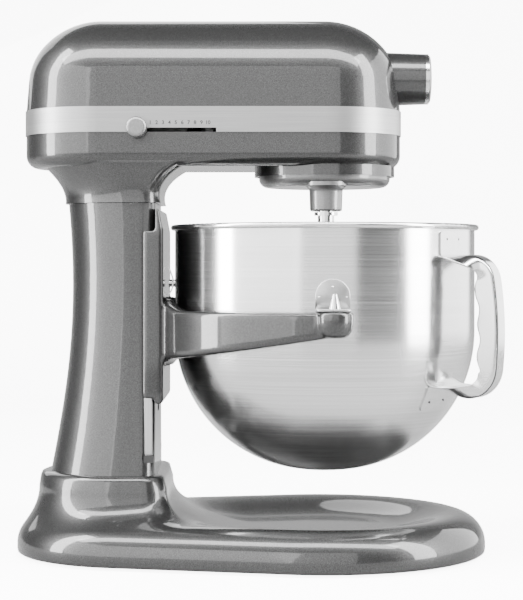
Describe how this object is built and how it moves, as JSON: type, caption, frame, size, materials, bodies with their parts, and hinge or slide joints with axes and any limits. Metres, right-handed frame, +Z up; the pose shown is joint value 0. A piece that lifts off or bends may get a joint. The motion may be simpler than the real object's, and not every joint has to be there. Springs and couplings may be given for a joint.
{
  "type": "stand mixer",
  "caption": "Bowl-lift stand mixer: planetary head on a column and oval base, bowl carried by a sliding yoke, side lift lever, speed lever and front attachment hub.",
  "frame": {"origin": "centre of the outer box in plan, on the surface that the feet stand on", "axes": "+X from the column to the attachment hub, +Z up, +Y to the side of the lift lever"},
  "size_m": [0.3757, 0.2918, 0.4207],
  "materials": {
    "grey_paint": "metallic flake paint on a casting, semi-gloss",
    "band_metal": "brushed",
    "planetary_metal": "satin",
    "bowl_steel": "brushed round the bowl",
    "bright_steel": "polished",
    "machine_steel": "machined",
    "case_alloy": "as cast",
    "bearing_bronze": "machined",
    "black_rubber": "matt",
    "black_plastic": "satin",
    "knob_metal": "satin",
    "magnet_grey": "ferrite",
    "board_green": "circuit board"
  },
  "bodies": {
    "frame": {"base_casting": "grey_paint", "base_bottom_cover": "black_plastic", "base_feet": "black_rubber", "cord_gland": "black_rubber", "column_bolts": "machine_steel", "column_casting": "grey_paint", "guide_rails": "band_metal", "rail_stops": "machine_steel", "head_screws": "machine_steel", "head_lower_housing": "grey_paint", "trim_band": "band_metal", "head_top_cover": "grey_paint", "hub_trim_ring": "band_metal", "hub_bush": "bearing_bronze", "planetary_ring_gear": "machine_steel", "motor_can": "machine_steel", "motor_end_bell": "machine_steel", "field_magnets": "magnet_grey", "motor_bearings": "bearing_bronze", "carbon_brushes": "black_plastic", "gearcase": "case_alloy", "gearcase_bearings": "bearing_bronze", "control_board": "board_green", "lift_bush": "bearing_bronze"},
    "planetary": {"planetary_housing": "planetary_metal", "centre_shaft": "machine_steel", "centre_shaft_pin": "machine_steel", "centre_bevel_gear": "machine_steel"},
    "beater_drive": {"beater_shaft": "bright_steel", "beater_pin": "bright_steel", "shaft_washer": "bright_steel", "planet_pinion": "machine_steel"},
    "motor_rotor": {"rotor_core": "machine_steel", "commutator": "bearing_bronze", "motor_shaft": "machine_steel", "cooling_fan": "black_plastic", "motor_pinion": "machine_steel"},
    "jackshaft": {"jackshaft": "machine_steel", "reduction_gear": "machine_steel", "rear_bevel_pinion": "machine_steel"},
    "hub_drive": {"hub_drive_shaft": "machine_steel", "hub_bevel_pinion": "machine_steel"},
    "speed_lever": {"speed_knob": "knob_metal", "speed_lever_arm": "machine_steel"},
    "hub_cap": {"hub_cap": "band_metal"},
    "attachment_knob": {"attachment_knob": "black_plastic"},
    "yoke": {"bowl_yoke": "grey_paint", "yoke_pins": "bright_steel", "bowl_latch_spring": "bright_steel"},
    "lift_lever": {"lift_lever": "bright_steel", "lift_knob": "black_plastic", "lift_shaft": "bright_steel", "lift_crank": "machine_steel"},
    "bowl": {"bowl_shell": "bowl_steel", "bowl_ears": "bowl_steel", "bowl_rear_pin": "bright_steel", "bowl_handle": "bowl_steel"}
  },
  "joints": [
    {"name": "planetary_spin", "type": "hinge", "parent": "frame", "child": "planetary", "pos_m": [0.054, 0, 0.29], "axis": [0, 0, 1], "continuous": true},
    {"name": "beater_spin", "type": "hinge", "parent": "planetary", "child": "beater_drive", "pos_m": [0.054, -0.036, 0.29], "axis": [0, 0, 1], "continuous": true},
    {"name": "jackshaft_spin", "type": "hinge", "parent": "frame", "child": "jackshaft", "pos_m": [0, 0, 0.375], "axis": [1, 0, 0], "continuous": true},
    {"name": "motor_spin", "type": "hinge", "parent": "frame", "child": "motor_rotor", "pos_m": [-0.09, 0, 0.345], "axis": [1, 0, 0], "continuous": true},
    {"name": "hub_drive_spin", "type": "hinge", "parent": "frame", "child": "hub_drive", "pos_m": [0.1, 0, 0.375], "axis": [1, 0, 0], "continuous": true},
    {"name": "speed_lever_slide", "type": "slide", "parent": "frame", "child": "speed_lever", "axis": [1, 0, 0], "range_m": [0, 0.054]},
    {"name": "hub_cap_pull", "type": "slide", "parent": "frame", "child": "hub_cap", "axis": [1, 0, 0], "range_m": [0, 0.03]},
    {"name": "attachment_knob_turn", "type": "hinge", "parent": "frame", "child": "attachment_knob", "pos_m": [0.1193, 0.03, 0.375], "axis": [0, 1, 0], "continuous": true},
    {"name": "bowl_lift", "type": "slide", "parent": "frame", "child": "yoke", "axis": [0, 0, 1], "range_m": [-0.04, 0]},
    {"name": "lift_lever_turn", "type": "hinge", "parent": "frame", "child": "lift_lever", "pos_m": [-0.114, 0.05, 0.16], "axis": [0, 1, 0], "range_deg": [-75, 0]},
    {"name": "bowl_lift_off", "type": "slide", "parent": "yoke", "child": "bowl", "axis": [0, 0, 1], "range_m": [0, 0.028]}
  ],
  "couplings": [
    {"joint": "beater_spin", "follows": "planetary_spin", "ratio": -4},
    {"joint": "jackshaft_spin", "follows": "planetary_spin", "ratio": -3},
    {"joint": "motor_spin", "follows": "planetary_spin", "ratio": 12},
    {"joint": "hub_drive_spin", "follows": "planetary_spin", "ratio": 3},
    {"joint": "lift_lever_turn", "follows": "bowl_lift", "rad_per_m": 32.72}
  ]
}
